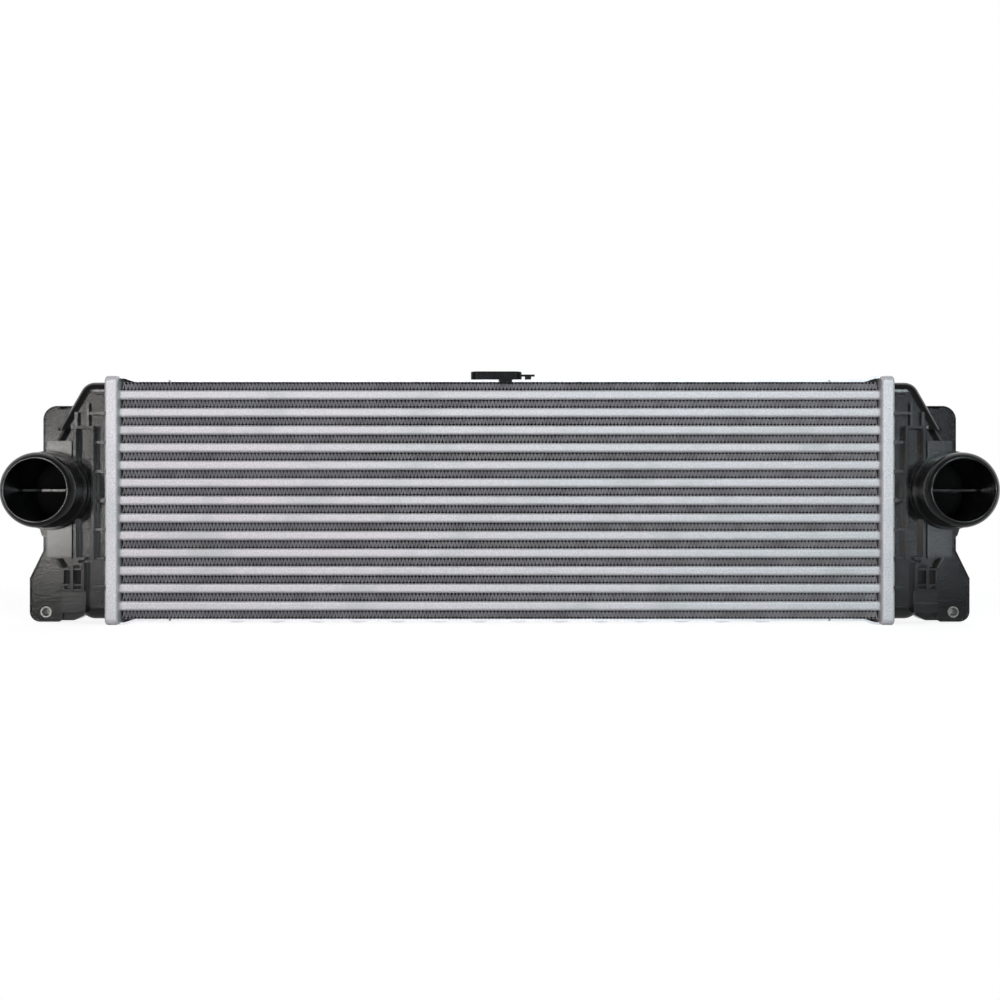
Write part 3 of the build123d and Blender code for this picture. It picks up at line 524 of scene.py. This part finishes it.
tank_skin = tank_flow * flow_roughness + tank_mottle * mottle_roughness + skin_roughness
# Inside the duct the colour is painted darker, as painted shade, and the skin is rougher.
tank_material = tank_finish.surface(
    tank_finish.tint(
        tank_within,
        tank_finish.tint(tank_streaked, tank_black, tank_streak),
        tank_painted_duct_shade,
    ),
    tank_skin + tank_within * inside_roughness,
    tank_mottle,
    tank_bump,
    rounded(tank_finish, tank_rounding),
)
dress(["left_tank", "right_tank"], tank_material)


# ---------------------------------------------------------------------------------------------------
# Sleeves: short steel tubes, zinc plated, pressed into the bolt holes of the flanges so that the bolts
# don't crush the plastic. Their bores are in shade.
# ---------------------------------------------------------------------------------------------------

sleeve_low, sleeve_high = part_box("right_sleeve")
sleeve_x = (sleeve_low.x + sleeve_high.x) / 2
sleeve_z = (sleeve_low.z + sleeve_high.z) / 2
sleeve_bore = 3.3 * mm
shade_edge = 0.5 * mm
sleeve_bump = 0.02 * mm

sleeve_colour = (0.36, 0.36, 0.35, 1)
sleeve_yellow = (0.32, 0.30, 0.25, 1)
sleeve_shade = (0.04, 0.04, 0.042, 1)

sleeve_finish = Finish("zinc_sleeve", {"Metallic": 1.0})
sleeve_patch = sleeve_finish.clouds(scale=400.0, detail=3.0)
sleeve_yellowed = sleeve_finish.band(sleeve_patch, low=0.4, high=0.7)
sleeve_radius = from_axis(sleeve_finish, sleeve_x, sleeve_z)
sleeve_outside = sleeve_finish.band(sleeve_radius, sleeve_bore, sleeve_bore + shade_edge)
sleeve_material = sleeve_finish.surface(
    sleeve_finish.tint(
        sleeve_outside,
        sleeve_shade,
        sleeve_finish.tint(sleeve_yellowed, sleeve_colour, sleeve_yellow),
    ),
    sleeve_finish.between(sleeve_patch, least=0.22, most=0.42),
    sleeve_patch,
    sleeve_bump,
)
dress(["left_sleeve", "right_sleeve"], sleeve_material)


# ---------------------------------------------------------------------------------------------------
# Holder: a small moulding in black plastic that clips over the top side plate and carries a line. Its
# grain is finer than the tanks', and its skin has less gloss.
# ---------------------------------------------------------------------------------------------------

holder_bump = 0.03 * mm
holder_rounding = 0.4 * mm

holder_black = (0.007, 0.007, 0.008, 1)
holder_grey = (0.014, 0.014, 0.015, 1)

holder_finish = Finish("holder_plastic", {"Specular IOR Level": 0.25})
holder_patch = holder_finish.clouds(scale=120.0, detail=3.0)
holder_material = holder_finish.surface(
    holder_finish.tint(holder_patch, holder_black, holder_grey),
    holder_finish.between(holder_patch, least=0.14, most=0.24),
    holder_finish.clouds(scale=2400.0),
    holder_bump,
    rounded(holder_finish, holder_rounding),
)
dress(["holder"], holder_material)


# ---------------------------------------------------------------------------------------------------
# The stage: a plain white floor that keeps the cooler's shadow, a white surround, soft lamps and the
# camera, which looks level along Y at the core.
# ---------------------------------------------------------------------------------------------------

core_middle = (fin_low.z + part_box(fin_names[-1])[1].z) / 2
floor_size = 12
floor_glow = 0.86
floor_paint = (0.3, 0.3, 0.3, 1)

deselect()
bpy.ops.mesh.primitive_plane_add(size=floor_size)
floor = bpy.context.object
floor.name = "floor"

# The paint is a mid grey in the light that it throws back. Seen by the camera, or mirrored from behind
# the cooler, it has a white glow added, and away from the cooler the camera sees it as plain white.
floor_finish = Finish("floor_paint", {"Base Color": floor_paint, "Roughness": 0.9})
floor_lit = Strand(floor_finish, floor_finish.shader.outputs[0])
floor_haze = floor_finish.node("Emission", {}, {"Strength": floor_glow})
floor_white = floor_finish.node("Emission", {}, {"Strength": 1})
floor_hazy = floor_finish.node("AddShader", {}, {0: floor_lit, 1: floor_haze})
floor_seen = floor_finish.node("LightPath", give="Is Camera Ray")
floor_behind = floor_finish.band(floor_finish.part("Y"), low=-0.1, high=0.1)
floor_mirrored = floor_finish.node("LightPath", give="Is Glossy Ray") * floor_behind
floor_clear = floor_finish.math("MAXIMUM", floor_seen, floor_mirrored)
floor_near = floor_finish.node("MixShader", {}, {0: floor_clear, 1: floor_lit, 2: floor_hazy})
floor_oval = floor_finish.stretched((0.6, 1, 1))
floor_away = floor_finish.node("VectorMath", {"operation": "LENGTH"}, {0: floor_oval}, give="Value")
floor_far = floor_finish.band(floor_away, low=0.3, high=0.8) * floor_seen
floor_mix = floor_finish.node("MixShader", {}, {0: floor_far, 1: floor_near, 2: floor_white})
floor_finish.feed(floor_finish.tree.nodes["Material Output"].inputs["Surface"], floor_mix)
floor.data.materials.append(floor_finish.material)


class Surround(Finish):
    """The world's light, mixed like a finish."""

    def __init__(self, world):
        self.tree = world.node_tree
        self.background = self.tree.nodes["Background"]


room_light = 0.09
world = bpy.data.worlds.new("surround")
world.use_nodes = True
bpy.context.scene.world = world

# The room is white to the camera, and in gloss that mirrors what is behind the cooler. To everything
# else it is dim, which leaves the light to the lamps.
surround = Surround(world)
room_seen = surround.node("LightPath", give="Is Camera Ray")
room_depth = surround.part("Y", surround.node("TexCoord", give="Generated"))
room_behind = surround.band(room_depth, low=0, high=0.4)
room_mirrored = surround.node("LightPath", give="Is Glossy Ray") * room_behind
room_white = surround.math("MAXIMUM", room_seen, room_mirrored)
room_strength = surround.between(room_white, least=room_light, most=1)
surround.feed(surround.background.inputs["Color"], (1, 1, 1, 1))
surround.feed(surround.background.inputs["Strength"], room_strength)


def lamp(name, place, aim, size, watts, colour=(1, 1, 1)):
    """A soft lamp, as wide and high as size says, turned from its place to the point it is aimed at."""
    light = bpy.data.lights.new(name, "AREA")
    light.shape = "RECTANGLE"
    light.size, light.size_y = size
    light.energy = watts
    light.color = colour
    lamp_object = bpy.data.objects.new(name, light)
    bpy.context.collection.objects.link(lamp_object)
    lamp_object.location = place
    lamp_object.rotation_euler = (aim - lamp_object.location).to_track_quat("-Z", "Y").to_euler()


# The light is warm from the left and cool from the right. High front lamps light the whole cooler, low
# core lamps reach between the fins and into the ports, the tanks' gloss mirrors the small glints, and
# the back lamp lights the side that the camera doesn't see.
warm_light = (1, 0.935, 0.955)
cool_light = (0.83, 0.965, 1)
warm_glint = (1, 0.985, 0.95)
cool_glint = (0.84, 0.93, 1)
port_aim_x = 370 * mm
core_centre = Vector((0, fin_mid_y, core_middle))
left_port = Vector((-port_aim_x, 0, core_middle))
right_port = Vector((port_aim_x, 0, core_middle))
lamp("left_front_lamp", (-0.6, -1.5, 0.85), core_centre, (0.5, 0.5), 9, warm_light)
lamp("right_front_lamp", (0.6, -1.5, 0.85), core_centre, (0.5, 0.5), 9.8, cool_light)
lamp("left_core_lamp", (-0.3, -1.5, 0.08), core_centre, (0.4, 0.12), 2.4, warm_light)
lamp("right_core_lamp", (0.3, -1.5, 0.08), core_centre, (0.4, 0.12), 2.5, cool_light)
lamp("left_glint", (-0.84, -1.45, 0.095), left_port, (0.06, 0.23), 1.25, warm_glint)
lamp("left_high_glint", (-0.745, -1.45, 0.3), left_port, (0.06, 0.1), 0.3, warm_glint)
lamp("right_high_glint", (0.75, -1.45, 0.24), right_port, (0.06, 0.14), 0.16, cool_glint)
lamp("right_low_glint", (0.785, -1.45, 0.035), right_port, (0.06, 0.04), 0.15, cool_glint)
lamp("back_lamp", (0.5, 1.7, 1.1), core_centre, (1.6, 1.0), 4)

camera_x = 0.3 * mm
camera_z = 106.4 * mm
camera_distance = 1.25  # from the front of the core
camera_y = tube_low.y - camera_distance
lens_mm = 52.8
sensor_mm = 36

bpy.ops.object.camera_add(location=(camera_x, camera_y, camera_z), rotation=(math.radians(90), 0, 0))
camera = bpy.context.object
camera.data.lens = lens_mm
camera.data.sensor_width = sensor_mm
camera.data.clip_start = 0.05
camera.data.clip_end = 50
bpy.context.scene.camera = camera
bpy.context.scene.view_settings.view_transform = "Standard"
